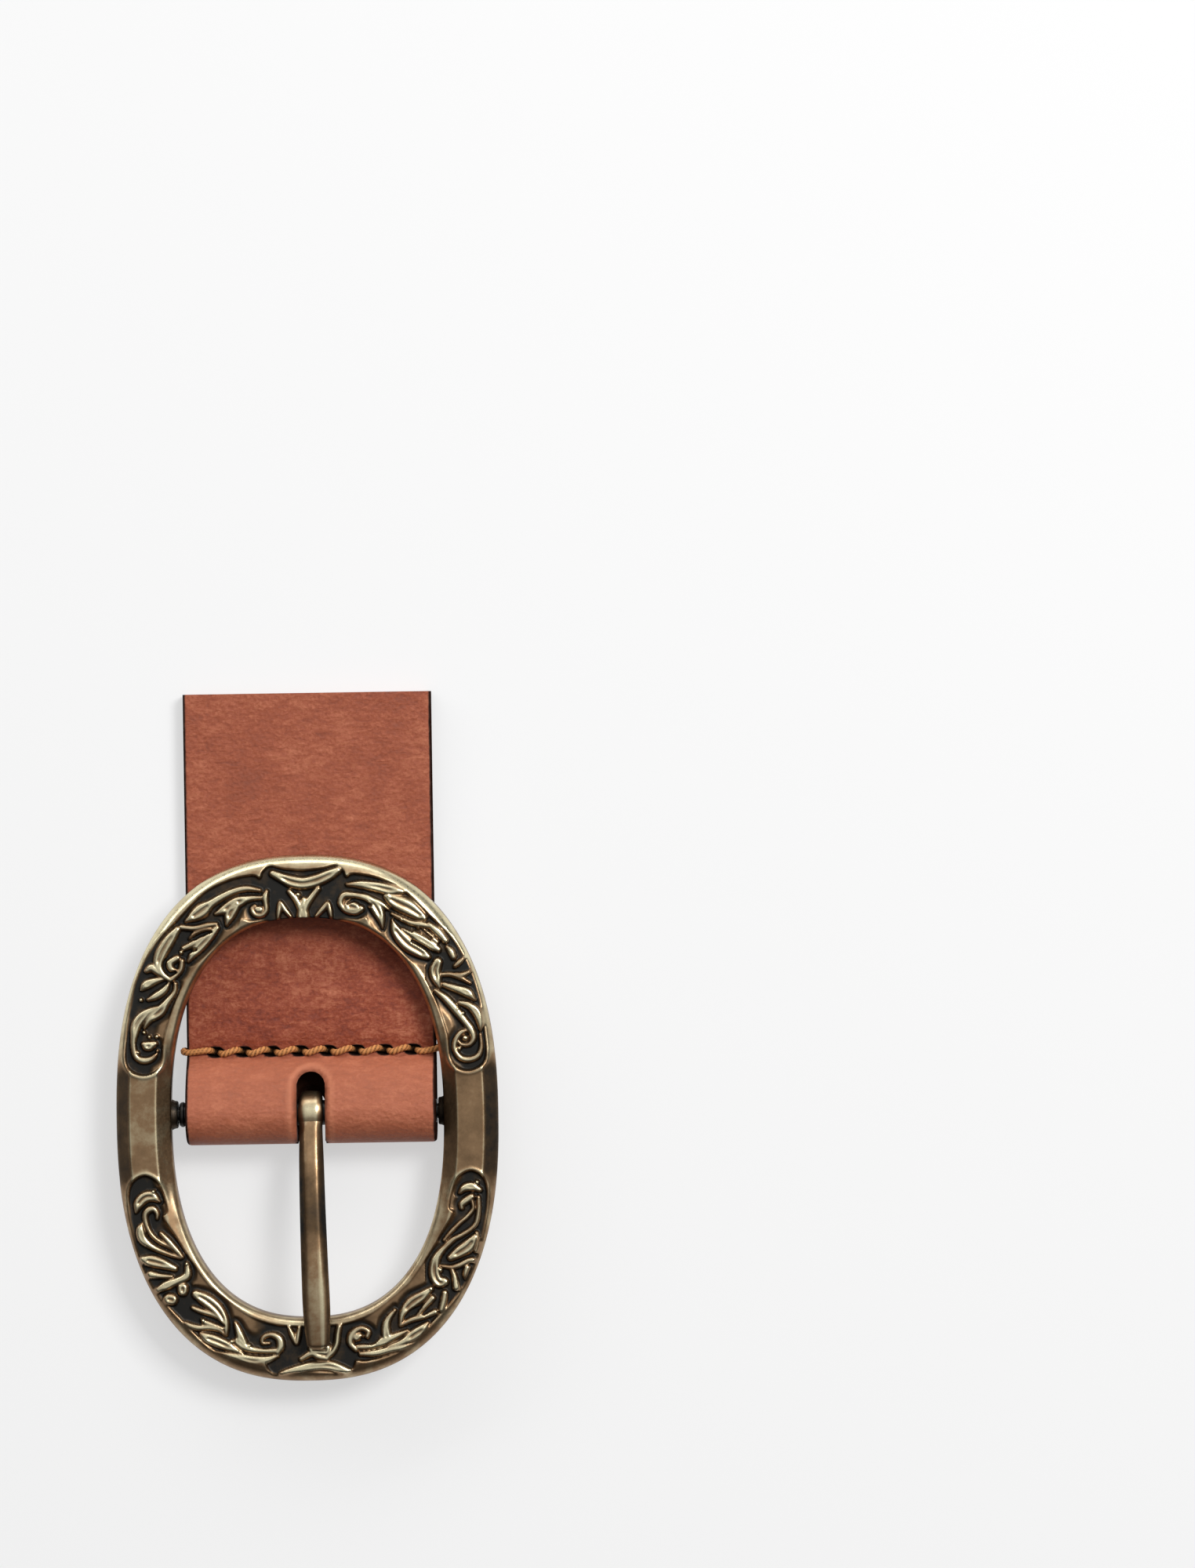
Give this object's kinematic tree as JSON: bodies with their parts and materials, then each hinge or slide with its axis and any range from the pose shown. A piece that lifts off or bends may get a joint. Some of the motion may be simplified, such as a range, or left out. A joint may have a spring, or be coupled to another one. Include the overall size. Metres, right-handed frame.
{
  "type": "oval centre-bar belt buckle on a sewn strap end",
  "caption": "Cast oval belt buckle with scrollwork panels, a centre bar and a swinging prong, on the folded and stitched end of a leather strap.",
  "frame": {"origin": "the middle of the bounding box's underside, on the surface that the buckle lies on", "axes": "+Y along the strap away from the prong's tip, +Z out of the buckle's face, +X to the right of a person looking at the face"},
  "size_m": [0.061, 0.11, 0.0129],
  "materials": {
    "antique_brass": "cast, plated brass, darkened in the hollows and brushed bright on top",
    "bar_steel": "turned rod, dark gunmetal plating",
    "leather": "full grain, vegetable tanned, terracotta, with burnished dark edges",
    "thread": "waxed, twisted thread"
  },
  "bodies": {
    "strap": {"strap_end": "leather", "needle_thread": "thread", "bobbin_thread": "thread"},
    "frame": {"frame": "antique_brass", "bar": "bar_steel"},
    "prong": {"prong": "antique_brass"}
  },
  "joints": [
    {"name": "frame_tilt", "type": "hinge", "parent": "strap", "child": "frame", "pos_m": [0, -0.0124, 0.00495], "axis": [1, 0, 0], "range_deg": [0, 90]},
    {"name": "prong_swing", "type": "hinge", "parent": "frame", "child": "prong", "pos_m": [0, -0.0124, 0.00495], "axis": [-1, 0, 0], "range_deg": [0, 110]}
  ]
}
